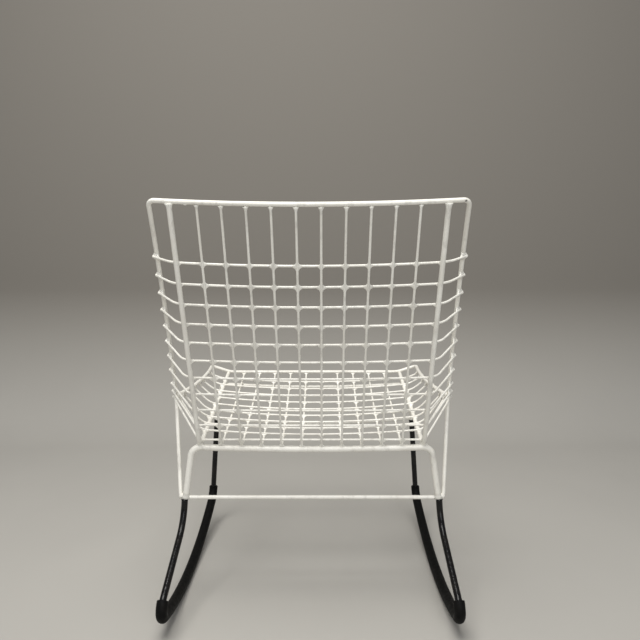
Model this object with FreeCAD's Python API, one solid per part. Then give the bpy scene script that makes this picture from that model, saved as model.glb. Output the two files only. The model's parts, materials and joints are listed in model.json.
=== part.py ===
import FreeCAD, Part
import math
import os

# Wire rocking chair: a folded wire-grid shell on a bent-rod frame and two sleeved rocker rods.
# Millimetres. The chair faces -Y, +Z is up and the floor is Z = 0.

# Rod and wire diameters
WIRE_D = 4.2
BAR_D = 9.0
RIM_D = 8.0
ARCH_D = 12.6
ROCKER_D = 13.0
SLEEVE_D = 21.0
SLEEVE_BORE_D = 13.2

# Where the folded grid turns from back to seat
FOLD_Y = 80.9
FOLD_Z = 320.9
FOLD_DROP = 7.0
WIRE_FOLD_R_SIDE = 18.0
WIRE_FOLD_R_MIDDLE = 30.0
BAR_FOLD_R = 30.0

# Back panel: measured up the panel (t), across (x) and toward the sitter (n)
BACK_RECLINE = 22.0
BACK_LENGTH = 498.8
BACK_BOW = 20.4
BACK_WIRE_COUNT = 11
BACK_WIRE_FIRST = 11.4
BACK_PITCH_LOW = 36.2
BACK_PITCH_HIGH = 39.7

# Seat panel: measured forward (s), across (x) and up off the panel (m)
SEAT_RISE = 12.6
SEAT_LENGTH = 368.5
SEAT_SAG = 7.0
SEAT_WIRE_COUNT = 9
SEAT_WIRE_FIRST = 56.0
SEAT_PITCH_REAR = 28.6
SEAT_PITCH_FRONT = 37.0

# Wires running from the top rail to the front rod
GRID_PITCH_ACROSS = 40.0
LONG_WIRE_COUNT = 10
BAR_X_TOP = 225.0
BAR_X_FOLD = 223.0
BAR_X_FRONT = 220.0

# Wings: the edge rods of the back and of the seat
RAIL_CORNER_X = 260.0
RAIL_CORNER_N = 6.0
RAIL_BOW = 23.4
RAIL_CORNER_R = 12.0
WING_CORNER_X = 286.0
WING_CORNER_T = 53.0
WING_CORNER_N = 103.0
WING_EDGE_SAG = 8.0
WING_CORNER_R = 12.0
STAY_STUB = 14.0
FRONT_CURVE_X = 215.0
FRONT_CURVE_R = 70.0
FRONT_PEAK_X = 262.0
FRONT_PEAK_M = 17.0
FRONT_PEAK_R = 12.0
SEAT_EDGE_END_X = 278.0
SEAT_EDGE_END_S = 88.0
SEAT_EDGE_END_M = 71.0
SEAT_EDGE_PINCH = 9.0
SEAT_EDGE_SAG = 2.0
NUB_PAST_EDGE = 2.0
BACK_KNEE_OUT = 12.0
BACK_KNEE_GROWTH = 5.0
SEAT_KNEE_OUT = 12.0
CURL_REACH = 1.5
BACK_CORNER_GAP = -6.0
BACK_CORNER_PITCH = 16.0
SEAT_CORNER_GAP = 5.0
SEAT_CORNER_PITCH = 9.0

# Rear arch, stays and stretcher
ARCH_Y = 77.9
ARCH_Z = 316.9
ARCH_TOP_X = 239.5
ARCH_FOOT_X = 255.5
ARCH_BOW = 4.0
ARCH_CORNER_R = 20.0
STRETCHER_X = 266.0
STRETCHER_Y = 71.0
STRETCHER_Z = 210.0
STRETCHER_CORNER_R = 10.0

# Front arch under the seat and its lower stretcher
FRONT_ARCH_S = 320.0
FRONT_ARCH_TOP_X = 232.0
FRONT_ARCH_FOOT_X = 252.0
FRONT_ARCH_BOW = 8.0
FRONT_FOOT_Y = -277.5
FRONT_FOOT_Z = 276.0
FRONT_STRETCHER_BOW = 13.0

# Rocker rods: drawn upright, then leaned outward about the stretcher corner
ROCKER_LEAN = 3.9
ROCKER_X = 257.0
ROCKER_RADIUS = 680.0
ROCKER_LOW_Y = 8.0
ROCKER_KNEE_Y = 75.0
ROCKER_KNEE_DROP = 49.0
ROCKER_KNEE_R = 64.0
ROCKER_ARM_SLOPE = 28.7
HAIRPIN_R = 22.0
UPRIGHT_Y = -278.0
UPRIGHT_BEND_R = 36.0
SLEEVE_REAR_TURN = 20.0
SLEEVE_FRONT_TOP_Z = 95.0

# Small joining allowances
BITE = 1.0
STRAIGHT_LEFT = 0.6


def vec(x, y, z):
    """Return a FreeCAD vector."""
    return FreeCAD.Vector(x, y, z)


def unit(v):
    """Return a copy of a vector with length one."""
    return v * (1.0 / v.Length)


def turn_angle(before, corner, after):
    """Angle by which a path turns at a corner, in radians."""
    a = unit(corner - before)
    b = unit(after - corner)
    return math.acos(max(-1.0, min(1.0, a.dot(b))))


def rounded_path(points, radii):
    """Straight runs through points, joined by tangent arcs of the given radii at the inner points."""
    edges = []
    start = points[0]
    for i in range(1, len(points) - 1):
        corner = points[i]
        a = unit(corner - points[i - 1])
        b = unit(points[i + 1] - corner)
        half = turn_angle(points[i - 1], corner, points[i + 1]) / 2.0
        setback = radii[i - 1] * math.tan(half)
        arc_start = corner - a * setback
        arc_end = corner + b * setback
        arc_mid = corner + unit(b - a) * (radii[i - 1] / math.cos(half) - radii[i - 1])
        if (arc_start - start).Length > 0.01:
            edges.append(Part.LineSegment(start, arc_start).toShape())
        edges.append(Part.Arc(arc_start, arc_mid, arc_end).toShape())
        start = arc_end
    if (points[-1] - start).Length > 0.01:
        edges.append(Part.LineSegment(start, points[-1]).toShape())
    return Part.Wire(edges)


def radius_to_fill(points, index, used_before, used_after):
    """Largest arc radius at points[index] that leaves a short straight on both sides."""
    half = turn_angle(points[index - 1], points[index], points[index + 1]) / 2.0
    before = (points[index] - points[index - 1]).Length - used_before - STRAIGHT_LEFT
    after = (points[index + 1] - points[index]).Length - used_after - STRAIGHT_LEFT
    return min(before, after) / math.tan(half)


def setback_at(points, index, radius):
    """Length of straight that an arc of this radius takes on each side of a corner."""
    return radius * math.tan(turn_angle(points[index - 1], points[index], points[index + 1]) / 2.0)


def swept(path, diameter):
    """Solid round rod along a path."""
    first = path.OrderedEdges[0]
    start = first.valueAt(first.FirstParameter)
    along = first.tangentAt(first.FirstParameter)
    ring = Part.Wire(Part.makeCircle(diameter / 2.0, start, along))
    return path.makePipeShell([ring], True, False)


def rod(points, radii, diameter):
    """Solid round rod bent through points."""
    return swept(rounded_path(points, radii), diameter)


def mirror_x(shape):
    """The same shape on the other side of the chair."""
    return shape.mirror(vec(0, 0, 0), vec(1, 0, 0))


RECLINE = math.radians(BACK_RECLINE)
RISE = math.radians(SEAT_RISE)
FRONT_DROP = (RIM_D + WIRE_D) / 2.0


def back_point(x, t, n):
    """Point on the back panel."""
    y = FOLD_Y + t * math.sin(RECLINE) - n * math.cos(RECLINE)
    z = FOLD_Z + t * math.cos(RECLINE) + n * math.sin(RECLINE)
    return vec(x, y, z)


def seat_point(x, s, m):
    """Point on the seat panel."""
    y = FOLD_Y - s * math.cos(RISE) + m * math.sin(RISE)
    z = FOLD_Z + s * math.sin(RISE) + m * math.cos(RISE)
    return vec(x, y, z)


def across(x, half_width):
    """One at the middle of the chair, falling to zero at the side bars."""
    return 1.0 - (x / half_width) ** 2


def back_bow(t):
    """How far the middle of the back panel lies behind its side bars."""
    return BACK_BOW * t / BACK_LENGTH


def seat_sag(s):
    """How far the middle of the seat panel hangs under its side bars."""
    reach = s / SEAT_LENGTH
    ends = FOLD_DROP * (1.0 - reach) + FRONT_DROP * reach
    return ends + 4.0 * SEAT_SAG * reach * (1.0 - reach)


def place_in_row(index, count, first, pitch_start, pitch_end):
    """Position of a wire in a row whose spacing grows evenly from the first gap to the last."""
    growth = (pitch_end - pitch_start) / (count - 2)
    return first + pitch_start * index + growth * index * (index - 1) / 2.0


def back_wire_t(index):
    """Height on the back of a cross wire, counted from the fold."""
    return place_in_row(index, BACK_WIRE_COUNT, BACK_WIRE_FIRST, BACK_PITCH_LOW, BACK_PITCH_HIGH)


def seat_wire_s(index):
    """Distance along the seat of a cross wire, counted from the fold."""
    return place_in_row(index, SEAT_WIRE_COUNT, SEAT_WIRE_FIRST, SEAT_PITCH_REAR, SEAT_PITCH_FRONT)


def bar_x_back(t):
    """Side-bar distance from the middle, at a height on the back."""
    return BAR_X_FOLD + (BAR_X_TOP - BAR_X_FOLD) * t / BACK_LENGTH


def bar_x_seat(s):
    """Side-bar distance from the middle, at a distance along the seat."""
    return BAR_X_FOLD + (BAR_X_FRONT - BAR_X_FOLD) * s / SEAT_LENGTH


def back_edge_at(t):
    """Centre of the back wing's edge rod at a height on the panel, as x and n."""
    span = BACK_LENGTH - WING_CORNER_T
    f = (BACK_LENGTH - t) / span
    x = RAIL_CORNER_X + (WING_CORNER_X - RAIL_CORNER_X) * f
    n = RAIL_CORNER_N + (WING_CORNER_N - RAIL_CORNER_N) * f + 4.0 * WING_EDGE_SAG * f * (1.0 - f)
    return x, n


def seat_edge_at(s):
    """Centre of the seat wing's edge rod at a distance along the panel, as x and m."""
    f = (SEAT_LENGTH - s) / (SEAT_LENGTH - SEAT_EDGE_END_S)
    bulge = 4.0 * f * (1.0 - f)
    x = FRONT_PEAK_X + (SEAT_EDGE_END_X - FRONT_PEAK_X) * f - SEAT_EDGE_PINCH * bulge
    m = FRONT_PEAK_M + (SEAT_EDGE_END_M - FRONT_PEAK_M) * f - SEAT_EDGE_SAG * bulge
    return x, m


def wing_tip(bar_x, bar_off, edge_x, edge_off):
    """End of a wire's wing run: it lies against the outer side of the edge rod and pokes past."""
    dx = edge_x - bar_x
    dn = edge_off - bar_off
    reach = math.hypot(dx, dn)
    side = math.asin((RIM_D + WIRE_D) / 2.0 / reach)
    slope = math.atan2(dn, dx) - side
    run = reach * math.cos(side) + NUB_PAST_EDGE
    return bar_x + run * math.cos(slope), bar_off + run * math.sin(slope)


def cross_wire(middle, bar, tip, knee_out):
    """Grid wire bowed between the side bars, its curl to the wing edge starting inside the bar."""
    knee = bar + unit(bar - middle) * knee_out
    points = [vec(-tip.x, tip.y, tip.z), vec(-knee.x, knee.y, knee.z), middle, knee, tip]
    curl = radius_to_fill([middle, knee, tip], 1, (knee - middle).Length - CURL_REACH * knee_out, 0.0)
    bend = setback_at(points, 1, curl)
    fill = radius_to_fill(points, 2, bend, bend)
    return rod(points, [curl, fill, curl], WIRE_D)


def back_wire(index):
    """Cross wire of the back, counted from the fold."""
    t = back_wire_t(index)
    end_t = max(t, WING_CORNER_T + BACK_CORNER_GAP + BACK_CORNER_PITCH * index)
    edge_x, edge_n = back_edge_at(end_t)
    bar_x = bar_x_back(t)
    tip_x, tip_n = wing_tip(bar_x, WIRE_D, edge_x, edge_n)
    middle = back_point(0, t, WIRE_D - 2.0 * back_bow(t))
    bar = back_point(bar_x, t, WIRE_D)
    knee_out = BACK_KNEE_OUT * min(1.0, (index + 1) / BACK_KNEE_GROWTH)
    return cross_wire(middle, bar, back_point(tip_x, end_t, tip_n), knee_out)


def seat_wire(index):
    """Cross wire of the seat, counted from the fold."""
    s = seat_wire_s(index)
    end_s = max(s, SEAT_EDGE_END_S + SEAT_CORNER_GAP + SEAT_CORNER_PITCH * index)
    edge_x, edge_m = seat_edge_at(end_s)
    bar_x = bar_x_seat(s)
    tip_x, tip_m = wing_tip(bar_x, WIRE_D, edge_x, edge_m)
    middle = seat_point(0, s, WIRE_D - 2.0 * seat_sag(s))
    bar = seat_point(bar_x, s, WIRE_D)
    return cross_wire(middle, bar, seat_point(tip_x, end_s, tip_m), SEAT_KNEE_OUT)


def long_wire(index):
    """Grid wire from the top rail down the back, round the fold and along the seat."""
    x = (index - (LONG_WIRE_COUNT - 1) / 2.0) * GRID_PITCH_ACROSS
    share = across(x, BAR_X_FOLD)
    bow = BACK_BOW * across(x, BAR_X_TOP)
    fold_drop = FOLD_DROP * share
    fold_r = WIRE_FOLD_R_SIDE + (WIRE_FOLD_R_MIDDLE - WIRE_FOLD_R_SIDE) * share
    fold = vec(x, FOLD_Y, FOLD_Z - fold_drop)
    top = back_point(x, BACK_LENGTH - RIM_D / 2.0 + BITE, -bow)
    hang = seat_point(x, SEAT_LENGTH / 2.0, -(fold_drop + FRONT_DROP) / 2.0 - 2.0 * SEAT_SAG * share)
    front = seat_point(x, SEAT_LENGTH + RIM_D / 2.0, -FRONT_DROP)
    points = [top, fold, hang, front]
    used = setback_at(points, 1, fold_r)
    fill = radius_to_fill(points, 2, used, 0.0)
    return rod(points, [fold_r, fill], WIRE_D)


def side_bar():
    """Thick bar at the fold line of a wing, from the top rail to the front rod."""
    seat_back = (BAR_D - WIRE_D) / 2.0
    fold_y = FOLD_Y + seat_back * (1.0 - math.sin(RISE)) / math.cos(RECLINE)
    fold_z = FOLD_Z - seat_back
    top = back_point(BAR_X_TOP, BACK_LENGTH - RIM_D / 2.0 + BITE, -seat_back)
    fold = vec(BAR_X_FOLD, fold_y, fold_z)
    front = seat_point(BAR_X_FRONT, SEAT_LENGTH - RIM_D / 2.0 + BITE, -seat_back)
    return rod([top, fold, front], [BAR_FOLD_R], BAR_D)


def wing_corner():
    """Where the back wing's edge rod turns into the stay."""
    return back_point(WING_CORNER_X, WING_CORNER_T, WING_CORNER_N)


def stay_start():
    """Butt joint between the back rim rod and the stay rod, just below the wing corner."""
    foot = vec(STRETCHER_X, STRETCHER_Y, STRETCHER_Z)
    corner = wing_corner()
    return corner + unit(foot - corner) * STAY_STUB


def back_rim_rod():
    """Top rail, both back wing edges and the turn into the stays."""
    corner = back_point(RAIL_CORNER_X, BACK_LENGTH, RAIL_CORNER_N)
    half_t = (BACK_LENGTH + WING_CORNER_T) / 2.0
    half_x, half_n = back_edge_at(half_t)
    edge_mid = back_point(half_x, half_t, half_n + WING_EDGE_SAG)
    half = [corner, edge_mid, wing_corner(), stay_start()]
    left = [vec(-p.x, p.y, p.z) for p in reversed(half)]
    rail_mid = back_point(0, BACK_LENGTH, RAIL_CORNER_N - 2.0 * RAIL_BOW)
    points = left + [rail_mid] + half
    at_corner = setback_at(points, 3, RAIL_CORNER_R)
    at_wing = setback_at(points, 1, WING_CORNER_R)
    edge_r = radius_to_fill(points, 2, at_wing, at_corner)
    rail_r = radius_to_fill(points, 4, at_corner, at_corner)
    side = [WING_CORNER_R, edge_r, RAIL_CORNER_R]
    return rod(points, side + [rail_r] + list(reversed(side)), RIM_D)


def stay_hoop_rod():
    """Both side stays and the rear stretcher between their feet."""
    start = stay_start()
    foot = vec(STRETCHER_X, STRETCHER_Y, STRETCHER_Z)
    points = [vec(-start.x, start.y, start.z), vec(-foot.x, foot.y, foot.z), foot, start]
    return rod(points, [STRETCHER_CORNER_R, STRETCHER_CORNER_R], RIM_D)


def front_rim_rod():
    """Front rod with both seat wing edges running back to the wing corners."""
    curve = seat_point(FRONT_CURVE_X, SEAT_LENGTH, 0)
    peak = seat_point(FRONT_PEAK_X, SEAT_LENGTH, FRONT_PEAK_M)
    half_s = (SEAT_LENGTH + SEAT_EDGE_END_S) / 2.0
    half_x, half_m = seat_edge_at(half_s)
    hang = seat_point(half_x - SEAT_EDGE_PINCH, half_s, half_m - SEAT_EDGE_SAG)
    end = seat_point(SEAT_EDGE_END_X, SEAT_EDGE_END_S, SEAT_EDGE_END_M)
    half = [curve, peak, hang, end]
    points = [vec(-p.x, p.y, p.z) for p in reversed(half)] + half
    sweep_r = radius_to_fill(points, 1, 0.0, setback_at(points, 2, FRONT_PEAK_R))
    side = [FRONT_CURVE_R, FRONT_PEAK_R, sweep_r]
    return rod(points, list(reversed(side)) + side, RIM_D)


def arch(top, foot, middle, corner_r, diameter):
    """Inverted U with a slightly bowed top."""
    points = [vec(-foot.x, foot.y, foot.z), vec(-top.x, top.y, top.z), middle, top, foot]
    used = setback_at(points, 1, corner_r)
    fill = radius_to_fill(points, 2, used, used)
    return rod(points, [corner_r, fill, corner_r], diameter)


def rear_arch():
    """Thick arch under the fold, standing on the rear stretcher."""
    foot_z = STRETCHER_Z + RIM_D / 2.0 - BITE
    return arch(
        vec(ARCH_TOP_X, ARCH_Y, ARCH_Z),
        vec(ARCH_FOOT_X, STRETCHER_Y, foot_z),
        vec(0, ARCH_Y, ARCH_Z - 2.0 * ARCH_BOW),
        ARCH_CORNER_R,
        ARCH_D,
    )


def front_arch_top(x, bow):
    """Point on the top of the front arch, under the seat wires."""
    under = (BAR_D - WIRE_D) / 2.0 + BAR_D / 2.0 + RIM_D / 2.0
    return seat_point(x, FRONT_ARCH_S, -under - bow)


def front_arch():
    """Arch under the front of the seat, its legs splayed forward and outward."""
    return arch(
        front_arch_top(FRONT_ARCH_TOP_X, 0.0),
        vec(FRONT_ARCH_FOOT_X, FRONT_FOOT_Y, FRONT_FOOT_Z),
        front_arch_top(0, 2.0 * FRONT_ARCH_BOW),
        ARCH_CORNER_R,
        RIM_D,
    )


def front_stretcher():
    """Lower cross rail between the feet of the front arch."""
    end = vec(FRONT_ARCH_FOOT_X - RIM_D / 2.0, FRONT_FOOT_Y, FRONT_FOOT_Z + RIM_D / 2.0)
    dip = vec(0, end.y, end.z - 2.0 * FRONT_STRETCHER_BOW)
    points = [vec(-end.x, end.y, end.z), dip, end]
    return rod(points, [radius_to_fill(points, 1, 0.0, 0.0)], RIM_D)


def lean(shape):
    """Lean a rocker piece outward about the line through the stretcher corner."""
    leaned = shape.copy()
    leaned.rotate(vec(ROCKER_X, 0, STRETCHER_Z), vec(0, 1, 0), -ROCKER_LEAN)
    return leaned


def rocker_low_z():
    """Height of the runner's centre line at its lowest point, before the lean."""
    return STRETCHER_Z - (STRETCHER_Z - SLEEVE_D / 2.0) / math.cos(math.radians(ROCKER_LEAN))


def runner_z(y):
    """Height of the runner's centre line, before the lean."""
    away = y - ROCKER_LOW_Y
    return rocker_low_z() + ROCKER_RADIUS - math.sqrt(ROCKER_RADIUS ** 2 - away ** 2)


def hairpin():
    """Arc tangent to the rear leg's arm and to the runner's circle, as its three points."""
    slope = math.radians(ROCKER_ARM_SLOPE)
    along = vec(0, math.cos(slope), -math.sin(slope))
    under = vec(0, -math.sin(slope), -math.cos(slope))
    knee = vec(0, ROCKER_KNEE_Y, STRETCHER_Z - ROCKER_KNEE_DROP)
    big_centre = vec(0, ROCKER_LOW_Y, rocker_low_z() + ROCKER_RADIUS)
    start = knee + under * HAIRPIN_R - big_centre
    half_b = start.dot(along)
    rest = start.dot(start) - (ROCKER_RADIUS - HAIRPIN_R) ** 2
    travel = -half_b + math.sqrt(half_b ** 2 - rest)
    centre = start + along * travel
    arm_end = centre - under * HAIRPIN_R
    runner_end = centre + unit(centre) * HAIRPIN_R
    tip = centre + unit(arm_end + runner_end - centre * 2.0) * HAIRPIN_R
    shift = big_centre + vec(ROCKER_X, 0, 0)
    return arm_end + shift, tip + shift, runner_end + shift


def rocker_outline(top_z_front):
    """Rocker centre line as edges: rear leg, hairpin, runner, front bend and upright."""
    leg_top = vec(ROCKER_X, ROCKER_KNEE_Y, STRETCHER_Z - RIM_D / 2.0)
    knee = vec(ROCKER_X, ROCKER_KNEE_Y, STRETCHER_Z - ROCKER_KNEE_DROP)
    arm_end, pin_tip, runner_end = hairpin()
    runner_start, front_mid, upright_start = front_bend()
    half_y = (runner_end.y + runner_start.y) / 2.0
    leg = rounded_path([leg_top, knee, arm_end], [ROCKER_KNEE_R])
    return leg.OrderedEdges + [
        Part.Arc(arm_end, pin_tip, runner_end).toShape(),
        Part.Arc(runner_end, vec(ROCKER_X, half_y, runner_z(half_y)), runner_start).toShape(),
        Part.Arc(runner_start, front_mid, upright_start).toShape(),
        Part.LineSegment(upright_start, vec(ROCKER_X, UPRIGHT_Y, top_z_front)).toShape(),
    ]


def front_bend():
    """Arc tangent to the runner's circle and to the upright, as its three points."""
    centre_y = UPRIGHT_Y + UPRIGHT_BEND_R
    big_centre = vec(ROCKER_X, ROCKER_LOW_Y, rocker_low_z() + ROCKER_RADIUS)
    away = centre_y - ROCKER_LOW_Y
    centre_z = big_centre.z - math.sqrt((ROCKER_RADIUS - UPRIGHT_BEND_R) ** 2 - away ** 2)
    centre = vec(ROCKER_X, centre_y, centre_z)
    down = unit(centre - big_centre)
    start = centre + down * UPRIGHT_BEND_R
    middle = centre + unit(down + vec(0, -1, 0)) * UPRIGHT_BEND_R
    return start, middle, vec(ROCKER_X, UPRIGHT_Y, centre_z)


def rocker_rod():
    """Bent rocker rod from the rear stretcher corner round to the front arch's foot."""
    top = FRONT_FOOT_Z
    return lean(swept(Part.Wire(rocker_outline(top)), ROCKER_D))


def rocker_sleeve():
    """Plastic sleeve from just inside the hairpin along the runner and round the front bend."""
    edges = rocker_outline(SLEEVE_FRONT_TOP_Z)
    pin = edges[3]
    first = pin.FirstParameter + math.radians(SLEEVE_REAR_TURN)
    mouth_at = pin.valueAt(first)
    along = pin.tangentAt(first)
    path = Part.Wire([pin.Curve.toShape(first, pin.LastParameter)] + edges[4:])
    mouth = Part.makeCircle(SLEEVE_D / 2.0, mouth_at, along)
    hole = Part.makeCircle(SLEEVE_BORE_D / 2.0, mouth_at, along)
    ring = Part.Face([Part.Wire(mouth), Part.Wire(hole)])
    return lean(path.makePipe(ring))


def build_nodes():
    """Every separate piece of the chair by name."""
    nodes = {
        "back_rim_rod": back_rim_rod(),
        "stay_hoop_rod": stay_hoop_rod(),
        "front_rim_rod": front_rim_rod(),
        "rear_arch": rear_arch(),
        "front_arch": front_arch(),
        "front_stretcher": front_stretcher(),
    }
    paired = {
        "side_bar": side_bar(),
        "rocker_rod": rocker_rod(),
        "rocker_sleeve": rocker_sleeve(),
    }
    for name, shape in paired.items():
        nodes[name + "_left"] = shape
        nodes[name + "_right"] = mirror_x(shape)
    for i in range(LONG_WIRE_COUNT):
        nodes["long_wire_%02d" % (i + 1)] = long_wire(i)
    for i in range(BACK_WIRE_COUNT):
        nodes["back_wire_%02d" % (i + 1)] = back_wire(i)
    for i in range(SEAT_WIRE_COUNT):
        nodes["seat_wire_%02d" % (i + 1)] = seat_wire(i)
    return nodes


def main():
    """Write one STEP file for each piece."""
    os.makedirs("parts", exist_ok=True)
    for name, shape in build_nodes().items():
        shape.exportStep("parts/" + name + ".step")


main()
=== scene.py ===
import json
import logging
import math
import random
from dataclasses import dataclass, field
from enum import Enum
from typing import Sequence

import bmesh
import bpy
import numpy as np
from mathutils import Matrix, Vector, noise


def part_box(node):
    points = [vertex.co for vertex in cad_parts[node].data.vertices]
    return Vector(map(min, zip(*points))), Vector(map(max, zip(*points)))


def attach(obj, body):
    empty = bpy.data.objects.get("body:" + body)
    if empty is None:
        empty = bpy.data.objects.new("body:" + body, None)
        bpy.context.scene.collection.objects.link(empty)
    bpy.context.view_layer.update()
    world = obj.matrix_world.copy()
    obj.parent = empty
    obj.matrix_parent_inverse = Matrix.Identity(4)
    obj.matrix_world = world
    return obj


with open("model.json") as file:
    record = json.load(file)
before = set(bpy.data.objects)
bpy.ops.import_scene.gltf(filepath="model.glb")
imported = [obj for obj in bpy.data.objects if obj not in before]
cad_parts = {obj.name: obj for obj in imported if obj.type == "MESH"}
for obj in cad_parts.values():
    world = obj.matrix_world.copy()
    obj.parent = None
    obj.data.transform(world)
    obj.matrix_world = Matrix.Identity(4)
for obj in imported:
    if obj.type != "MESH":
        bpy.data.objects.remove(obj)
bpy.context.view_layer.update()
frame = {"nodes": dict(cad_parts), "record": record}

log = logging.getLogger("rocking_chair")
logging.basicConfig(level=logging.INFO, format="%(name)s: %(message)s")

BODY = "root"
MM = 0.001

# Radii of the rods, in millimetres
WIRE_R = 2.1
BAR_R = 4.5
RIM_R = 4.0
ARCH_R = 6.3
ROCKER_R = 6.5

# The folded grid: its two slopes in degrees, its wire counts, and how far the side bars stand from
# the middle, in metres
BACK_RECLINE = 22.0
SEAT_RISE = 12.6
LONG_WIRES = 10
BACK_WIRES = 11
SEAT_WIRES = 9
BAR_X = 0.223

# How much hand-made webs and beads vary in size, as factors
WEB_SWELL = (0.9, 1.12)
BEAD_SWELL = (0.92, 1.12)

ACROSS = Vector((1.0, 0.0, 0.0))
UP = Vector((0.0, 0.0, 1.0))
BACK_RUN = Vector((0.0, math.sin(math.radians(BACK_RECLINE)), math.cos(math.radians(BACK_RECLINE))))
SEAT_RUN = Vector((0.0, -math.cos(math.radians(SEAT_RISE)), math.sin(math.radians(SEAT_RISE))))
FOLD_RUN = (BACK_RUN - SEAT_RUN).normalized()


class Slot(Enum):
    """Material slots of the record."""

    WHITE = "white_paint"
    BLACK = "black_paint"
    SLEEVE = "sleeve_plastic"


def mm(x: float, y: float, z: float) -> Vector:
    """Point given in millimetres, returned in metres."""
    return Vector((x, y, z)) * MM


def sided(point: Sequence[float], side: float) -> Vector:
    """Point of the left half in millimetres, or its mirror point for side -1, returned in metres."""
    return mm(point[0] * side, point[1], point[2])


# Finishes

class NodeBook:
    """Small helper that adds and links shader nodes."""

    EDGE_SCALE = 260.0

    def __init__(self, name: str) -> None:
        """Start an empty node material called name."""
        self.material = bpy.data.materials.new(name)
        self.material.use_nodes = True
        self.tree = self.material.node_tree
        self.tree.nodes.clear()
        self.output = self.tree.nodes.new("ShaderNodeOutputMaterial")
        self.shader = self.tree.nodes.new("ShaderNodeBsdfPrincipled")
        self.link(self.shader.outputs["BSDF"], self.output.inputs["Surface"])
        self.coords = self.tree.nodes.new("ShaderNodeTexCoord")

    def link(self, source: bpy.types.NodeSocket, target: bpy.types.NodeSocket) -> None:
        """Join two sockets."""
        self.tree.links.new(source, target)

    def noise(self, scale: float, detail: float, rough: float = 0.5,
              stretch: Sequence[float] = (1.0, 1.0, 1.0)) -> bpy.types.NodeSocket:
        """Noise over object coordinates.

        Args:
            scale: features per metre, roughly.
            detail: octaves.
            rough: share that each octave keeps.
            stretch: factors on the three coordinates before the noise.

        Returns:
            The noise value's socket.
        """
        mapping = self.tree.nodes.new("ShaderNodeMapping")
        mapping.inputs["Scale"].default_value = stretch
        self.link(self.coords.outputs["Object"], mapping.inputs["Vector"])
        texture = self.tree.nodes.new("ShaderNodeTexNoise")
        texture.inputs["Scale"].default_value = scale
        texture.inputs["Detail"].default_value = detail
        texture.inputs["Roughness"].default_value = rough
        self.link(mapping.outputs["Vector"], texture.inputs["Vector"])
        return texture.outputs["Fac"]

    def near(self, place: Vector, inner: float, outer: float) -> bpy.types.NodeSocket:
        """One within a ragged spot of the surface, falling to zero outside it.

        Args:
            place: middle of the spot, in metres.
            inner: radius of its solid middle, in millimetres.
            outer: radius where it has faded out, in millimetres.

        Returns:
            The mask's socket.
        """
        distance = self.tree.nodes.new("ShaderNodeVectorMath")
        distance.operation = "DISTANCE"
        self.link(self.coords.outputs["Object"], distance.inputs[0])
        distance.inputs[1].default_value = place
        ragged = self.tree.nodes.new("ShaderNodeMath")
        ragged.operation = "MULTIPLY"
        self.link(distance.outputs["Value"], ragged.inputs[0])
        self.link(self.spread(self.noise(self.EDGE_SCALE, 4.0, 0.7), 0.3, 0.7, 0.6, 1.5), ragged.inputs[1])
        return self.spread(ragged.outputs["Value"], inner * MM, outer * MM, 1.0, 0.0)

    def ramp(self, value: bpy.types.NodeSocket, stops: Sequence[tuple[float, Sequence[float]]]
             ) -> bpy.types.NodeSocket:
        """Colour ramp.

        Args:
            value: socket that drives it.
            stops: positions with RGB colours.

        Returns:
            The colour socket.
        """
        ramp = self.tree.nodes.new("ShaderNodeValToRGB")
        elements = ramp.color_ramp.elements
        while len(elements) > 1:
            elements.remove(elements[0])
        for index, (position, colour) in enumerate(stops):
            element = elements[0] if index == 0 else elements.new(position)
            element.position = position
            element.color = (*colour, 1.0)
        self.link(value, ramp.inputs["Fac"])
        return ramp.outputs["Color"]

    def spread(self, value: bpy.types.NodeSocket, low: float, high: float,
               at_low: float, at_high: float) -> bpy.types.NodeSocket:
        """Map a value's range low to high onto at_low to at_high, clamped."""
        node = self.tree.nodes.new("ShaderNodeMapRange")
        node.inputs["From Min"].default_value = low
        node.inputs["From Max"].default_value = high
        node.inputs["To Min"].default_value = at_low
        node.inputs["To Max"].default_value = at_high
        self.link(value, node.inputs["Value"])
        return node.outputs["Result"]

    def mix(self, factor: bpy.types.NodeSocket, first: bpy.types.NodeSocket,
            second: Sequence[float]) -> bpy.types.NodeSocket:
        """Blend a colour socket with a fixed colour.

        Args:
            factor: socket with the blend factor.
            first: socket with the first colour.
            second: the fixed RGB colour.

        Returns:
            The colour socket.
        """
        node = self.tree.nodes.new("ShaderNodeMix")
        node.data_type = "RGBA"
        self.link(factor, node.inputs["Factor"])
        self.link(first, node.inputs[6])
        node.inputs[7].default_value = (*second, 1.0)
        return node.outputs[2]

    def bump(self, heights: Sequence[tuple[bpy.types.NodeSocket, float]]) -> None:
        """Stack bumps on the shader's normal.

        Args:
            heights: pairs of a height socket and its depth in millimetres.
        """
        normal = None
        for height, depth in heights:
            node = self.tree.nodes.new("ShaderNodeBump")
            node.inputs["Distance"].default_value = depth * MM
            self.link(height, node.inputs["Height"])
            if normal is not None:
                self.link(normal, node.inputs["Normal"])
            normal = node.outputs["Normal"]
        if normal is not None:
            self.link(normal, self.shader.inputs["Normal"])


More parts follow.
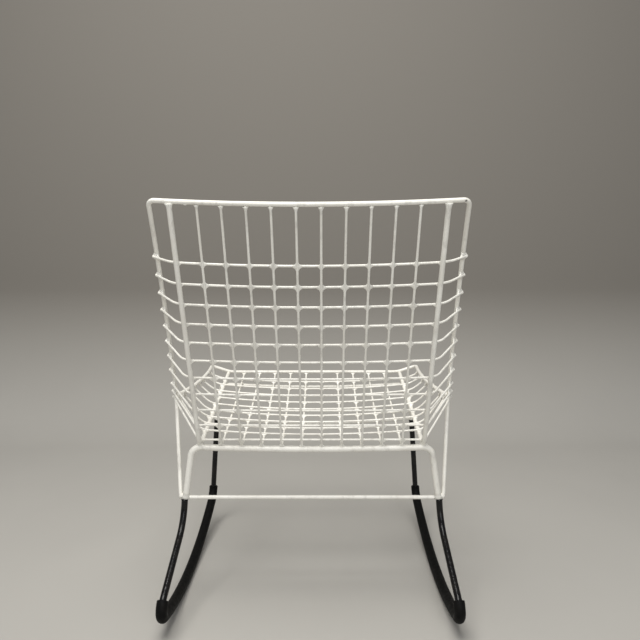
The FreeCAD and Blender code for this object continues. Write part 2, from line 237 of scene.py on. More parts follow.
@dataclass(frozen=True)
class WhitePaint:
    """Thick brushed enamel, a little yellowed, with grey streaks drawn out up and down and a few chips."""

    light: tuple[float, float, float] = (0.88, 0.86, 0.80)
    cream: tuple[float, float, float] = (0.81, 0.785, 0.72)
    grey: tuple[float, float, float] = (0.52, 0.50, 0.46)
    speck: tuple[float, float, float] = (0.20, 0.15, 0.11)
    bare: tuple[float, float, float] = (0.045, 0.035, 0.03)
    chips: tuple[tuple[float, float, float], ...] = (
        (-253.0, 268.0, 783.0), (262.0, 71.0, 208.0), (-196.0, 92.0, 318.0), (36.0, 92.0, 309.0))
    chip_inner: float = 1.5
    chip_outer: float = 3.5
    cloud_scale: float = 14.0
    mark_scale: float = 70.0
    mark_stretch: tuple[float, float, float] = (1.0, 1.0, 0.45)
    speck_scale: float = 230.0
    brush_depth: float = 0.30
    grain_depth: float = 0.10

    def build(self, name: str) -> bpy.types.Material:
        """Return the node material."""
        book = NodeBook(name)
        tone = book.ramp(book.noise(self.cloud_scale, 4.0), [(0.38, self.cream), (0.60, self.light)])
        # Grey streaks: noise drawn out up and down, blended over the tone wherever it runs high
        streaks = book.noise(self.mark_scale, 6.0, 0.62, self.mark_stretch)
        marks = book.spread(streaks, 0.53, 0.74, 0.0, 0.7)
        colour = book.mix(marks, tone, self.grey)
        specks = book.spread(book.noise(self.speck_scale, 3.0, 0.7), 0.745, 0.78, 0.0, 0.8)
        colour = book.mix(specks, colour, self.speck)
        for chip in self.chips:
            colour = book.mix(book.near(mm(*chip), self.chip_inner, self.chip_outer), colour, self.bare)
        book.link(colour, book.shader.inputs["Base Color"])
        rough = book.spread(book.noise(90.0, 3.0), 0.3, 0.7, 0.28, 0.46)
        book.link(rough, book.shader.inputs["Roughness"])
        book.bump([(book.noise(160.0, 3.0), self.brush_depth), (book.noise(520.0, 3.0), self.grain_depth)])
        return book.material


@dataclass(frozen=True)
class BlackPaint:
    """Gloss black enamel on the rocker rods, slightly wavy."""

    base: tuple[float, float, float] = (0.005, 0.005, 0.0055)
    worn: tuple[float, float, float] = (0.012, 0.011, 0.010)
    gloss: float = 0.24
    wave_depth: float = 0.6
    grain_depth: float = 0.05

    def build(self, name: str) -> bpy.types.Material:
        """Return the node material."""
        book = NodeBook(name)
        tone = book.ramp(book.noise(40.0, 5.0, 0.6), [(0.45, self.base), (0.68, self.worn)])
        book.link(tone, book.shader.inputs["Base Color"])
        rough = book.spread(book.noise(120.0, 4.0), 0.35, 0.7, 0.10, 0.30)
        book.link(rough, book.shader.inputs["Roughness"])
        book.shader.inputs["Specular IOR Level"].default_value = self.gloss
        book.bump([(book.noise(95.0, 2.0), self.wave_depth), (book.noise(420.0, 3.0), self.grain_depth)])
        return book.material


@dataclass(frozen=True)
class SleevePlastic:
    """Matte black hose over the runners, scuffed and dusty."""

    base: tuple[float, float, float] = (0.004, 0.004, 0.004)
    dust: tuple[float, float, float] = (0.009, 0.008, 0.007)
    gloss: float = 0.09
    scuff_depth: float = 0.25
    grain_depth: float = 0.06

    def build(self, name: str) -> bpy.types.Material:
        """Return the node material."""
        book = NodeBook(name)
        tone = book.ramp(book.noise(70.0, 6.0, 0.65), [(0.5, self.base), (0.78, self.dust)])
        book.link(tone, book.shader.inputs["Base Color"])
        rough = book.spread(book.noise(150.0, 4.0), 0.3, 0.7, 0.46, 0.70)
        book.link(rough, book.shader.inputs["Roughness"])
        book.shader.inputs["Specular IOR Level"].default_value = self.gloss
        book.bump([(book.noise(240.0, 3.0), self.scuff_depth), (book.noise(900.0, 2.0), self.grain_depth)])
        return book.material


@dataclass(frozen=True)
class StudioFloor:
    """Plain pale floor that deepens a little up the backdrop."""

    tint: tuple[float, float, float] = (0.44, 0.425, 0.395)
    wall: tuple[float, float, float] = (0.215, 0.200, 0.178)
    fade_height: float = 0.55
    cloud_share: float = 0.97

    def build(self, name: str) -> bpy.types.Material:
        """Return the node material."""
        book = NodeBook(name)
        shade = tuple(c * self.cloud_share for c in self.tint)
        tone = book.ramp(book.noise(3.0, 2.0), [(0.3, shade), (0.7, self.tint)])
        split = book.tree.nodes.new("ShaderNodeSeparateXYZ")
        book.link(book.coords.outputs["Object"], split.inputs["Vector"])
        height = book.spread(split.outputs["Z"], 0.0, self.fade_height, 0.0, 1.0)
        book.link(book.mix(height, tone, self.wall), book.shader.inputs["Base Color"])
        book.shader.inputs["Roughness"].default_value = 0.85
        return book.material


# Meshes

def make_object(name: str, bm: bmesh.types.BMesh, finish: bpy.types.Material) -> bpy.types.Object:
    """Turn a bmesh into a smooth-shaded object with one material.

    Args:
        name: the piece's name.
        bm: the mesh, freed here.
        finish: its material.

    Returns:
        The new object, at the origin.
    """
    mesh = bpy.data.meshes.new(name)
    for face in bm.faces:
        face.smooth = True
    bm.to_mesh(mesh)
    bm.free()
    mesh.materials.append(finish)
    obj = bpy.data.objects.new(name, mesh)
    bpy.context.scene.collection.objects.link(obj)
    log.info("%s: %d faces", name, len(mesh.polygons))
    return obj


def stand(origin: Vector, along: Vector, lift: Vector) -> Matrix:
    """Right-handed placing matrix.

    Args:
        origin: where the shape's own origin goes.
        along: direction of the shape's X axis.
        lift: direction nearest to the shape's Z axis, made square to along.

    Returns:
        The matrix.
    """
    x_axis = along.normalized()
    y_axis = lift.cross(x_axis).normalized()
    z_axis = x_axis.cross(y_axis)
    return Matrix.Translation(origin) @ Matrix((x_axis, y_axis, z_axis)).transposed().to_4x4()


class NodeCuts:
    """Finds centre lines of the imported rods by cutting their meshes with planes."""

    NUDGE = 1.0e-5
    ANYWHERE = 2.0

    def __init__(self) -> None:
        """Start with no mesh read."""
        self.ends: dict[str, tuple[np.ndarray, np.ndarray]] = {}

    def edge_ends(self, node: str) -> tuple[np.ndarray, np.ndarray]:
        """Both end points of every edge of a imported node."""
        if node not in self.ends:
            mesh = frame["nodes"][node].data
            points = np.empty(len(mesh.vertices) * 3, dtype=np.float32)
            mesh.vertices.foreach_get("co", points)
            points = points.reshape(-1, 3)
            pairs = np.empty(len(mesh.edges) * 2, dtype=np.int32)
            mesh.edges.foreach_get("vertices", pairs)
            pairs = pairs.reshape(-1, 2)
            self.ends[node] = points[pairs[:, 0]], points[pairs[:, 1]]
        return self.ends[node]

    def centre(self, node: str, at: Vector, normal: Vector, reach: float = ANYWHERE) -> Vector:
        """Centre of the section that a plane cuts from a rod.

        Args:
            node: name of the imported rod.
            at: a point on the plane, close to the section.
            normal: the plane's normal.
            reach: how far from the point the section may lie, in metres.

        Returns:
            The section's centre, in metres.
        """
        start, end = self.edge_ends(node)
        plane = np.array(normal)
        base = np.array(at) + plane * self.NUDGE
        before = (start - base) @ plane
        after = (end - base) @ plane
        crossed = before * after < 0.0
        share = before[crossed] / (before[crossed] - after[crossed])
        cut = start[crossed] + (end[crossed] - start[crossed]) * share[:, None]
        close = cut[np.linalg.norm(cut - base, axis=1) < reach]
        if len(close) == 0:
            raise ValueError("no section of %s near %s" % (node, tuple(at)))
        return Vector(((close.min(axis=0) + close.max(axis=0)) / 2.0).tolist())

    def end_ring(self, node: str, top: Vector, facing: Vector, reach: float) -> tuple[Vector, Vector]:
        """Centre and outward direction of a tube's flat end.

        Args:
            node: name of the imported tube.
            top: a point near the end's highest edge.
            facing: rough direction that the end looks in.
            reach: how far the end spreads from that point, in metres.

        Returns:
            The centre and the outward unit normal.
        """
        mesh = frame["nodes"][node].data
        near = [p for p in mesh.polygons if (p.center - top).length < reach]
        outward = max(near, key=lambda p: p.normal.dot(facing)).normal.copy()
        flat = [p for p in near if p.normal.dot(outward) > 0.999]
        points = np.array([mesh.vertices[i].co for p in flat for i in p.vertices])
        return Vector(((points.min(axis=0) + points.max(axis=0)) / 2.0).tolist()), outward


@dataclass
class PieceMaker:
    """Gathers placed copies of small shapes into one piece."""

    name: str
    slot: Slot
    mesh: bmesh.types.BMesh = field(default_factory=bmesh.new)

    def place(self, shape: bpy.types.Mesh, matrix: Matrix) -> None:
        """Add a copy of a shape.

        Args:
            shape: the mesh to copy.
            matrix: where it goes.
        """
        first = len(self.mesh.verts)
        self.mesh.from_mesh(shape)
        self.mesh.verts.ensure_lookup_table()
        bmesh.ops.transform(self.mesh, matrix=matrix, verts=self.mesh.verts[first:])

    def finish(self, finishes: dict[Slot, bpy.types.Material]) -> bpy.types.Object:
        """Make the object, name its slot and set it on the chair.

        Args:
            finishes: materials by slot.

        Returns:
            The piece.
        """
        piece = make_object(self.name, self.mesh, finishes[self.slot])
        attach(piece, BODY)
        return piece


def to_shape(name: str, bm: bmesh.types.BMesh) -> bpy.types.Mesh:
    """Freeze a bmesh with outward normals as a mesh to copy from."""
    bmesh.ops.recalc_face_normals(bm, faces=bm.faces[:])
    mesh = bpy.data.meshes.new(name)
    bm.to_mesh(mesh)
    bm.free()
    return mesh


# Paint and weld shapes

class WebSize(Enum):
    """Paint in the corners of a crossing: fill, reach and reach past a rod's end, in millimetres."""

    BACK = (1.4, 4.8, 4.8)
    BAR = (0.4, 3.2, 3.2)
    SEAT = (0.7, 4.0, 4.0)
    FOLD = (0.7, 4.6, 4.6)
    WING_END = (1.5, 5.0, 0.6)


@dataclass(frozen=True)
class PaintWeb:
    """Paint in the four corners between two crossing rods, the upper one along X. Millimetres."""

    upper_r: float
    lower_r: float
    fill: float = 1.7
    reach: float = 5.6
    tip_reach: float = 5.6
    depth: float = 2.5
    tip_share: float = 0.82
    smooth_rounds: int = 2

    def build(self) -> bpy.types.Mesh:
        """Return the closed web, its origin where the two rods touch."""
        bm = bmesh.new()
        bmesh.ops.create_cube(bm, size=2.0)
        half = Vector((self.lower_r + self.fill, self.upper_r + self.fill, self.depth)) * MM
        bmesh.ops.scale(bm, vec=half, verts=bm.verts[:])
        bm.normal_update()
        for side in [face for face in bm.faces if abs(face.normal.z) < 0.5]:
            self.pull_arm(bm, side)
        bmesh.ops.subdivide_edges(bm, edges=bm.edges[:], cuts=1, use_grid_fill=True)
        for _ in range(self.smooth_rounds):
            bmesh.ops.smooth_vert(bm, verts=bm.verts[:], factor=0.5,
                                  use_axis_x=True, use_axis_y=True, use_axis_z=True)
        return to_shape("paint_web", bm)

    def pull_arm(self, bm: bmesh.types.BMesh, side: bmesh.types.BMFace) -> None:
        """Draw one side of the block out along its rod until it sinks into the rod."""
        out = side.normal.copy()
        on_upper = abs(out.x) > 0.5
        radius = self.upper_r if on_upper else self.lower_r
        reach = self.tip_reach if out.x > 0.5 else self.reach
        tip = bmesh.ops.extrude_discrete_faces(bm, faces=[side])["faces"][0]
        centre = tip.calc_center_median()
        width = (self.upper_r if on_upper else self.lower_r) + self.fill
        thin = self.tip_share * radius / width
        flat = self.tip_share * radius / self.depth
        factors = Vector((1.0, thin, flat)) if on_upper else Vector((thin, 1.0, flat))
        bmesh.ops.scale(bm, vec=factors, verts=tip.verts[:], space=Matrix.Translation(-centre))
        sink = Vector((0.0, 0.0, radius * MM if on_upper else -radius * MM))
        bmesh.ops.translate(bm, vec=out * reach * MM + sink, verts=tip.verts[:])


@dataclass(frozen=True)
class PaintFlare:
    """Fillet round a rod's end where it runs into another rod, along +Z. Millimetres."""

    radius: float
    spread: float = 2.8
    reach: float = 9.0
    sides: int = 12
    rings: int = 4
    sink_share: float = 0.96
    hollow: float = 2.2

    def build(self) -> bpy.types.Mesh:
        """Return the closed flare, its wide end at the origin."""
        bm = bmesh.new()
        bmesh.ops.create_circle(bm, cap_ends=True, segments=self.sides,
                                radius=(self.radius + self.spread) * MM)
        bm.faces.ensure_lookup_table()
        top = bm.faces[0]
        wide = self.radius + self.spread
        for ring in range(1, self.rings + 1):
            share = ring / self.rings
            grown = bmesh.ops.extrude_face_region(bm, geom=[top], use_keep_orig=ring == 1)
            top = next(g for g in grown["geom"] if isinstance(g, bmesh.types.BMFace))
            narrow = self.radius * self.sink_share + self.spread * (1.0 - share) ** self.hollow
            bmesh.ops.translate(bm, vec=(0.0, 0.0, self.reach * MM / self.rings), verts=top.verts[:])
            bmesh.ops.scale(bm, vec=(narrow / wide, narrow / wide, 1.0), verts=top.verts[:])
            wide = narrow
        return to_shape("paint_flare", bm)


@dataclass(frozen=True)
class WeldBead:
    """Lumpy rounded bead of weld and paint. Millimetres."""

    half: tuple[float, float, float]
    lump: float = 0.12
    seed: float = 0.0
    cuts: int = 2
    lump_scale: float = 1.7

    def build(self) -> bpy.types.Mesh:
        """Return the closed bead, centred on its origin."""
        bm = bmesh.new()
        bmesh.ops.create_icosphere(bm, subdivisions=self.cuts, radius=1.0)
        for vert in bm.verts:
            swell = noise.noise(vert.co * self.lump_scale + Vector((self.seed, 0.0, 0.0)))
            vert.co *= 1.0 + self.lump * swell
        bmesh.ops.scale(bm, vec=Vector(self.half) * MM, verts=bm.verts[:])
        return to_shape("weld_bead", bm)


@dataclass(frozen=True)
class RoundLip:
    """Rolled lip of a tube's end, a ring in the XY plane. Millimetres."""

    ring_r: float
    thick_r: float
    steps: int = 28
    section_sides: int = 8

    def build(self) -> bpy.types.Mesh:
        """Return the closed ring, its centre at the origin."""
        bm = bmesh.new()
        section = bmesh.ops.create_circle(bm, segments=self.section_sides, radius=self.thick_r * MM,
                                          matrix=Matrix.Rotation(math.pi / 2, 4, "X"))
        bmesh.ops.translate(bm, vec=(self.ring_r * MM, 0.0, 0.0), verts=section["verts"])
        bmesh.ops.spin(bm, geom=bm.verts[:] + bm.edges[:], cent=(0.0, 0.0, 0.0), axis=(0.0, 0.0, 1.0),
                       angle=math.tau, steps=self.steps, use_merge=True, use_duplicate=False)
        bmesh.ops.remove_doubles(bm, verts=bm.verts[:], dist=1.0e-5)
        return to_shape("round_lip", bm)


# Sub-assemblies

class PackedFrame:
    """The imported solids, dressed with their finishes."""

    def __init__(self, finishes: dict[Slot, bpy.types.Material]) -> None:
        """Keep the finishes by slot."""
        self.finishes = finishes

    def dress(self) -> None:
        """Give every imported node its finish."""
        slots = {p["node"]: Slot(p["material_slot"]) for p in frame["record"]["subparts"]}
        for name, node in frame["nodes"].items():
            node.data.materials.clear()
            node.data.materials.append(self.finishes[slots[name]])
        log.info("dressed %d packed nodes", len(frame["nodes"]))


@dataclass
class GridPaint:
    """Paint webs at the crossings of the wire grid."""

    cuts: NodeCuts
    finishes: dict[Slot, bpy.types.Material]
    dice: random.Random
    side_step: float = 3.0
    touch_gap: float = 1.6
    section_reach: float = 16.0
    bar_reach: float = 22.0
    weld_inset: float = 4.2
    tip_inset: float = 2.4
    turn_inset: float = 5.6
    tip_push: float = 1.2
    shapes: dict[PaintWeb, bpy.types.Mesh] = field(default_factory=dict)

    def web(self, radii: tuple[float, float], size: WebSize) -> bpy.types.Mesh:
        """Web shape for a pair of rod radii, built once for each size."""
        fill, reach, tip_reach = size.value
        key = PaintWeb(*radii, fill=fill, reach=reach, tip_reach=tip_reach)
        if key not in self.shapes:
            self.shapes[key] = key.build()
        return self.shapes[key]

    def join(self, maker: PieceMaker, upper: Vector, along: Vector, lower: Vector,
             radii: tuple[float, float], size: WebSize) -> None:
        """Place a web where two rods touch, and none where they stay apart.

        Args:
            maker: the piece that takes it.
            upper: centre of the rod that lies toward the sitter.
            along: that rod's direction.
            lower: centre of the rod behind it.
            radii: radii of the two rods, upper first.
            size: how much paint fills the corners.
        """
        lift = upper - lower
        if lift.length > (sum(radii) + self.touch_gap) * MM:
            return
        touch = lower + lift.normalized() * radii[1] * MM
        swell = self.dice.uniform(*WEB_SWELL)
        matrix = stand(touch, along, lift) @ Matrix.Diagonal((swell, swell, 1.0, 1.0))
        maker.place(self.web(radii, size), matrix)

    def tangent(self, node: str, x: float) -> Vector:
        """Direction of a cross wire where it passes a distance across the chair."""
        step = self.side_step * MM
        ahead = self.cuts.centre(node, Vector((x + step, 0.0, 0.0)), ACROSS)
        behind = self.cuts.centre(node, Vector((x - step, 0.0, 0.0)), ACROSS)
        return (ahead - behind).normalized()

    def across_row(self, maker: PieceMaker, cross: str, run: Vector, size: WebSize) -> None:
        """Webs of one cross wire on the long wires and the side bars.

        Args:
            maker: the piece that takes them.
            cross: name of the cross wire.
            run: direction of the long wires there.
            size: how much paint fills the corners.
        """
        lower = [("long_wire_%02d" % (i + 1), WIRE_R) for i in range(LONG_WIRES)]
        lower += [("side_bar_left", BAR_R), ("side_bar_right", BAR_R)]
        for node, radius in lower:
            low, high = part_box(node)
            middle = (low.x + high.x) / 2.0
            x = math.copysign(BAR_X, middle) if radius == BAR_R else middle
            upper = self.cuts.centre(cross, Vector((x, 0.0, 0.0)), ACROSS)
            under = self.cuts.centre(node, upper, run, self.section_reach * MM)
            fit = WebSize.BAR if radius == BAR_R else size
            self.join(maker, upper, self.tangent(cross, x), under, (WIRE_R, radius), fit)

    def wing_ends(self, maker: PieceMaker, tips: PieceMaker, bead: bpy.types.Mesh, cross: str,
                  rim: str, run: Vector) -> None:
        """Weld and rounded tip of a cross wire at both wing edges.

        Args:
            maker: the piece that takes the welds.
            tips: the piece that takes the rounded tips.
            bead: shape of a tip, long along X.
            cross: name of the cross wire.
            rim: name of the edge rod.
            run: direction of the edge rod there.
        """
        low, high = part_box(cross)
        for end, side in ((low.x, -1.0), (high.x, 1.0)):
            last = self.cuts.centre(cross, Vector((end - side * self.tip_inset * MM, 0.0, 0.0)), ACROSS)
            weld = self.cuts.centre(cross, Vector((end - side * self.weld_inset * MM, 0.0, 0.0)), ACROSS)
            outward = self.tangent(cross, end - side * self.turn_inset * MM) * side
            under = self.cuts.centre(rim, weld, run, self.section_reach * MM)
            self.join(maker, weld, outward, under, (WIRE_R, RIM_R), WebSize.WING_END)
            swell = self.dice.uniform(*BEAD_SWELL)
            matrix = stand(last + outward * self.tip_push * MM, outward, UP) @ Matrix.Scale(swell, 4)
            tips.place(bead, matrix)

    def build(self) -> None:
        """Build the webs and wire tips of the back and the seat."""
        bead = WeldBead((2.8, 2.5, 2.5), lump=0.1).build()
        tips = PieceMaker("wire_tips", Slot.WHITE)
        for panel, count, run, rim, size in (
                ("back", BACK_WIRES, BACK_RUN, "back_rim_rod", WebSize.BACK),
                ("seat", SEAT_WIRES, SEAT_RUN, "front_rim_rod", WebSize.SEAT)):
            webs = PieceMaker(panel + "_paint_webs", Slot.WHITE)
            welds = PieceMaker(panel + "_wing_welds", Slot.WHITE)
            for index in range(count):
                cross = "%s_wire_%02d" % (panel, index + 1)
                self.across_row(webs, cross, run, size)
                self.wing_ends(welds, tips, bead, cross, rim, run)
            webs.finish(self.finishes)
            welds.finish(self.finishes)
        tips.finish(self.finishes)
        self.fold_and_front()

    def fold_and_front(self) -> None:
        """Webs of the long wires on both arches and the front rod, and of the bars on the rear arch."""
        fold = PieceMaker("fold_welds", Slot.WHITE)
        front = PieceMaker("front_welds", Slot.WHITE)
        for index in range(LONG_WIRES):
            wire = "long_wire_%02d" % (index + 1)
            low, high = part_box(wire)
            x = (low.x + high.x) / 2.0
            arch = self.cuts.centre("rear_arch", Vector((x, 0.0, 0.0)), ACROSS)
            above = self.cuts.centre(wire, arch, FOLD_RUN, self.section_reach * MM)
            self.join(fold, above, FOLD_RUN, arch, (WIRE_R, ARCH_R), WebSize.FOLD)
            rod = self.cuts.centre("front_rim_rod", Vector((x, 0.0, 0.0)), ACROSS)
            under = self.cuts.centre(wire, rod, SEAT_RUN, self.section_reach * MM)
            self.join(front, rod, ACROSS, under, (RIM_R, WIRE_R), WebSize.SEAT)
            brace = self.cuts.centre("front_arch", Vector((x, 0.0, 0.0)), ACROSS)
            over = self.cuts.centre(wire, brace, SEAT_RUN, self.section_reach * MM)
            self.join(front, over, SEAT_RUN, brace, (WIRE_R, RIM_R), WebSize.SEAT)
        for side, bar in ((1.0, "side_bar_left"), (-1.0, "side_bar_right")):
            arch = self.cuts.centre("rear_arch", Vector((BAR_X * side, 0.0, 0.0)), ACROSS)
            above = self.cuts.centre(bar, arch, FOLD_RUN, self.bar_reach * MM)
            self.join(fold, above, FOLD_RUN, arch, (BAR_R, ARCH_R), WebSize.FOLD)
        fold.finish(self.finishes)
        front.finish(self.finishes)


@dataclass
class RailPaint:
    """Flares and lumps where rods end against other rods, and the run of paint under the rail."""

    cuts: NodeCuts
    finishes: dict[Slot, bpy.types.Material]
    dice: random.Random
    run_x: float = 198.0
    run_drop: float = 3.6
    rail_reach: float = 60.0
    top_inset: float = 8.0
    top_reach: float = 20.0
    top_rise: float = 5.5
    squash: float = 0.85
    leg_reach: float = 30.0
    arch_foot: tuple[float, float, float] = (255.5, 71.0, 210.0)
    brace_foot: tuple[float, float, float] = (252.0, -277.5, 278.0)
    foot_step: float = 6.0
    corner_at: tuple[float, float, float] = (258.0, 71.0, 212.0)
    wing_at: tuple[float, float, float] = (280.0, 8.0, 409.0)
    brace_bead_at: tuple[float, float, float] = (251.0, -277.5, 279.0)
    rocker_tops: tuple[tuple[float, float, float], ...] = ((257.0, 75.0, 207.0), (252.5, -278.0, 275.0))
    collar_step: float = 4.0

    def rail_fillets(self) -> None:
        """Fillets at the tops of the long wires and side bars, under the top rail."""
        maker = PieceMaker("rail_fillets", Slot.WHITE)
        wire = PaintFlare(WIRE_R).build()
        bar = PaintFlare(BAR_R, spread=2.2, reach=10.0).build()
        tops = [("long_wire_%02d" % (i + 1), wire) for i in range(LONG_WIRES)]
        tops += [("side_bar_left", bar), ("side_bar_right", bar)]
        for node, shape in tops:
            low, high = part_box(node)
            side = high.x if node == "side_bar_left" else low.x
            x = side if node.startswith("side") else (low.x + high.x) / 2.0
            guess = Vector((x, high.y, high.z)) - BACK_RUN * self.top_inset * MM
            top = self.cuts.centre(node, guess, BACK_RUN, self.top_reach * MM)
            swell = self.dice.uniform(*BEAD_SWELL)
            flatten = Matrix.Diagonal((swell, swell * self.squash, 1.0, 1.0))
            rise = BACK_RUN * self.top_rise * MM
            turn = Matrix((ACROSS, BACK_RUN.cross(ACROSS) * -1.0, BACK_RUN * -1.0)).transposed()
            maker.place(shape, Matrix.Translation(top + rise) @ turn.to_4x4() @ flatten)
        maker.finish(self.finishes)

    def paint_run(self) -> None:
        """Hardened drop of paint under the rail."""
        maker = PieceMaker("paint_run", Slot.WHITE)
        low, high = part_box("back_rim_rod")
        guess = Vector((self.run_x * MM, high.y, high.z))
        rail = self.cuts.centre("back_rim_rod", guess, ACROSS, self.rail_reach * MM)
        drop = WeldBead((3.4, 2.2, 1.9), lump=0.05, seed=3.0).build()
        maker.place(drop, Matrix.Translation(rail - UP * self.run_drop * MM))
        maker.finish(self.finishes)

    def leg_flare(self, maker: PieceMaker, node: str, foot: Vector, step: float,
                  shape: bpy.types.Mesh) -> None:
        """Place a flare at a leg's foot, along the leg.

        Args:
            maker: the piece that takes it.
            node: name of the rod with the leg.
            foot: point at the leg's foot.
            step: signed height between the two sections that give its direction.
            shape: the flare.
        """
        near = self.cuts.centre(node, foot + UP * step, UP, self.leg_reach * MM)
        far = self.cuts.centre(node, near + UP * step * 2.0, UP, self.leg_reach * MM)
        along = (far - near).normalized()
        origin = near - along * abs(step)
        maker.place(shape, stand(origin, along.cross(Vector((0.0, 1.0, 0.0))), along))

    def frame_welds(self) -> None:
        """Weld beads at the arch feet, stretcher corners, wing corners and front feet."""
        maker = PieceMaker("frame_welds", Slot.WHITE)
        arch_flare = PaintFlare(ARCH_R, spread=4.2, reach=14.0, sides=16).build()
        brace_flare = PaintFlare(RIM_R, spread=2.2, reach=8.0).build()
        corner = WeldBead((12.0, 5.8, 6.6), seed=1.0, cuts=3).build()
        wing = WeldBead((5.4, 6.4, 5.4), seed=2.0, cuts=3).build()
        foot = WeldBead((7.4, 6.2, 5.6), seed=5.0, cuts=3).build()
        for side in (-1.0, 1.0):
            step = self.foot_step * MM
            self.leg_flare(maker, "rear_arch", sided(self.arch_foot, side), step, arch_flare)
            self.leg_flare(maker, "front_arch", sided(self.brace_foot, side), step, brace_flare)
            maker.place(corner, Matrix.Translation(sided(self.corner_at, side)))
            maker.place(wing, Matrix.Translation(sided(self.wing_at, side)))
            maker.place(foot, Matrix.Translation(sided(self.brace_bead_at, side)))
        maker.finish(self.finishes)

    def rocker_collars(self) -> None:
        """Black weld collars at the tops of the rocker rods."""
        maker = PieceMaker("rocker_collars", Slot.BLACK)
        collar = PaintFlare(ROCKER_R, spread=0.6, reach=6.0, sides=16).build()
        for side, name in ((1.0, "left"), (-1.0, "right")):
            for top in self.rocker_tops:
                self.leg_flare(maker, "rocker_rod_" + name, sided(top, side), -self.collar_step * MM, collar)
        maker.finish(self.finishes)

    def build(self) -> None:
        """Build all of them."""
        self.rail_fillets()
        self.paint_run()
        self.frame_welds()
        self.rocker_collars()


@dataclass
class SleeveLips:
    """Rolled lips at both ends of the runner sleeves."""

    cuts: NodeCuts
    finishes: dict[Slot, bpy.types.Material]
    lip_r: float = 9.4
    lip_thick: float = 1.4
    end_zone: float = 200.0
    mouth_reach: float = 24.0
    rear_facing: tuple[float, float, float] = (0.0, -0.66, 0.75)
    side_hint: tuple[float, float, float] = (0.0, 1.0, 0.2)

    def build(self) -> None:
        """Build the lips of both sleeves as one piece."""
        maker = PieceMaker("sleeve_lips", Slot.SLEEVE)
        lip = RoundLip(self.lip_r, self.lip_thick).build()
        for name in ("left", "right"):
            node = "rocker_sleeve_" + name
            corners = [v.co for v in frame["nodes"][node].data.vertices]
            rear = max((c for c in corners if c.y > self.end_zone * MM), key=lambda c: c.z)
            front = max((c for c in corners if c.y < -self.end_zone * MM), key=lambda c: c.z)
            for top, facing in ((rear, Vector(self.rear_facing)), (front, UP)):
                centre, outward = self.cuts.end_ring(node, top, facing, self.mouth_reach * MM)
                maker.place(lip, stand(centre, outward.cross(Vector(self.side_hint)), outward))
        maker.finish(self.finishes)


# Stage, lights and camera

@dataclass(frozen=True)
class SoftLamp:
    """One square lamp aimed at the chair, in metres and watts."""

    name: str
    place: tuple[float, float, float]
    size: float
    watts: float
    colour: tuple[float, float, float]


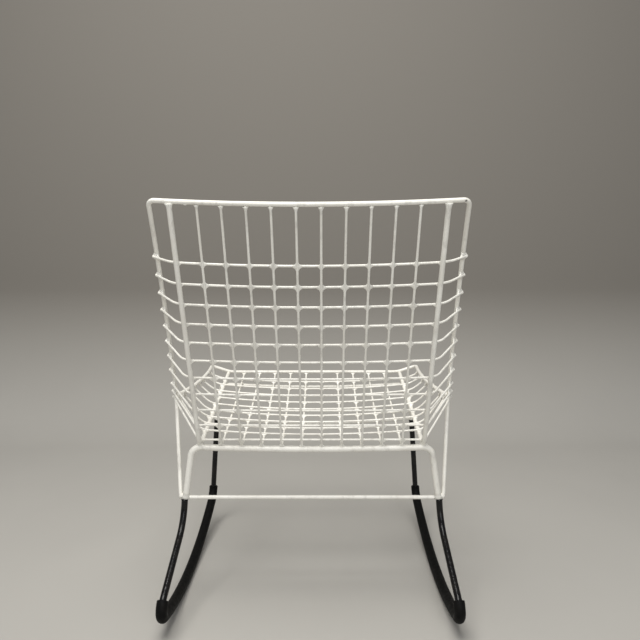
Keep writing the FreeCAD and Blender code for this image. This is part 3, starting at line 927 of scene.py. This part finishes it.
@dataclass
class Studio:
    """Floor, backdrop, soft lamps and the camera."""

    camera_at: tuple[float, float, float] = (-0.02187, 1.24508, 0.69122)
    pitch: float = 0.1019
    yaw: float = -0.0041
    roll: float = 0.0016
    lens: float = 33.75
    floor_half: float = 6.0
    wall_y: float = -1.5
    wall_curve: float = 0.6
    wall_rise: float = 5.0
    curve_steps: int = 24
    room_strength: float = 0.24
    room_colour: tuple[float, float, float] = (0.95, 0.97, 1.0)
    aim: tuple[float, float, float] = (0.0, 0.0, 0.4)
    lamps: tuple[SoftLamp, ...] = (
        SoftLamp("overhead", (0.35, 1.0, 3.1), 1.9, 100.0, (1.0, 0.985, 0.95)),
        SoftLamp("behind_camera", (-0.5, 2.8, 1.3), 1.5, 24.0, (0.96, 0.98, 1.0)))

    def build_floor(self, finish: bpy.types.Material) -> None:
        """Sweep a floor with a rounded rise into a backdrop.

        Args:
            finish: material of the floor.
        """
        bm = bmesh.new()
        start = bm.verts.new((-self.floor_half, self.floor_half, 0.0))
        corner = bm.verts.new((-self.floor_half, self.wall_y + self.wall_curve, 0.0))
        bm.edges.new((start, corner))
        centre = Vector((0.0, self.wall_y + self.wall_curve, self.wall_curve))
        bmesh.ops.spin(bm, geom=[corner], cent=centre, axis=(1.0, 0.0, 0.0), dvec=(0.0, 0.0, 0.0),
                       angle=-math.pi / 2, steps=self.curve_steps, use_duplicate=False)
        bm.verts.ensure_lookup_table()
        top = max(bm.verts, key=lambda v: v.co.z)
        rise = bmesh.ops.extrude_vert_indiv(bm, verts=[top])["verts"][0]
        rise.co.z += self.wall_rise
        run = bmesh.ops.extrude_edge_only(bm, edges=bm.edges[:])
        moved = [g for g in run["geom"] if isinstance(g, bmesh.types.BMVert)]
        bmesh.ops.translate(bm, verts=moved, vec=(2.0 * self.floor_half, 0.0, 0.0))
        bmesh.ops.recalc_face_normals(bm, faces=bm.faces[:])
        make_object("floor", bm, finish)

    def build_lights(self) -> None:
        """Place the soft lamps and the room's fill light."""
        world = bpy.data.worlds.new("room")
        bpy.context.scene.world = world
        world.use_nodes = True
        background = world.node_tree.nodes["Background"]
        background.inputs["Color"].default_value = (*self.room_colour, 1.0)
        background.inputs["Strength"].default_value = self.room_strength
        for lamp in self.lamps:
            self.hang(lamp)

    def hang(self, lamp: SoftLamp) -> None:
        """Hang one lamp and aim it at the chair.

        Args:
            lamp: its place, size and light.
        """
        data = bpy.data.lights.new(lamp.name, "AREA")
        data.shape = "SQUARE"
        data.size = lamp.size
        data.energy = lamp.watts
        data.color = lamp.colour
        hung = bpy.data.objects.new(lamp.name, data)
        hung.location = lamp.place
        hung.rotation_mode = "QUATERNION"
        hung.rotation_quaternion = (Vector(self.aim) - Vector(lamp.place)).to_track_quat("-Z", "Y")
        bpy.context.scene.collection.objects.link(hung)

    def build_camera(self) -> None:
        """Stand the camera where the photograph was taken from."""
        data = bpy.data.cameras.new("camera")
        data.sensor_width = 36.0
        data.lens = self.lens
        camera = bpy.data.objects.new("camera", data)
        forward = Vector((-math.sin(self.yaw) * math.cos(self.pitch),
                          -math.cos(self.yaw) * math.cos(self.pitch), -math.sin(self.pitch)))
        right = forward.cross(UP).normalized()
        up = right.cross(forward)
        tilted = right * math.cos(self.roll) - up * math.sin(self.roll)
        risen = up * math.cos(self.roll) + right * math.sin(self.roll)
        turn = Matrix((tilted, risen, -forward)).transposed()
        camera.matrix_world = Matrix.Translation(self.camera_at) @ turn.to_4x4()
        bpy.context.scene.collection.objects.link(camera)
        bpy.context.scene.camera = camera


def main() -> None:
    """Build the finishes, the dressed frame, its small pieces and the stage."""
    bpy.context.scene.view_settings.view_transform = "Standard"
    finishes = {
        Slot.WHITE: WhitePaint().build("white_paint"),
        Slot.BLACK: BlackPaint().build("black_paint"),
        Slot.SLEEVE: SleevePlastic().build("sleeve_plastic"),
    }
    PackedFrame(finishes).dress()
    cuts = NodeCuts()
    dice = random.Random(7)
    GridPaint(cuts, finishes, dice).build()
    RailPaint(cuts, finishes, dice).build()
    SleeveLips(cuts, finishes).build()
    studio = Studio()
    studio.build_floor(StudioFloor().build("studio_floor"))
    studio.build_lights()
    studio.build_camera()


if __name__ == "__main__":
    main()
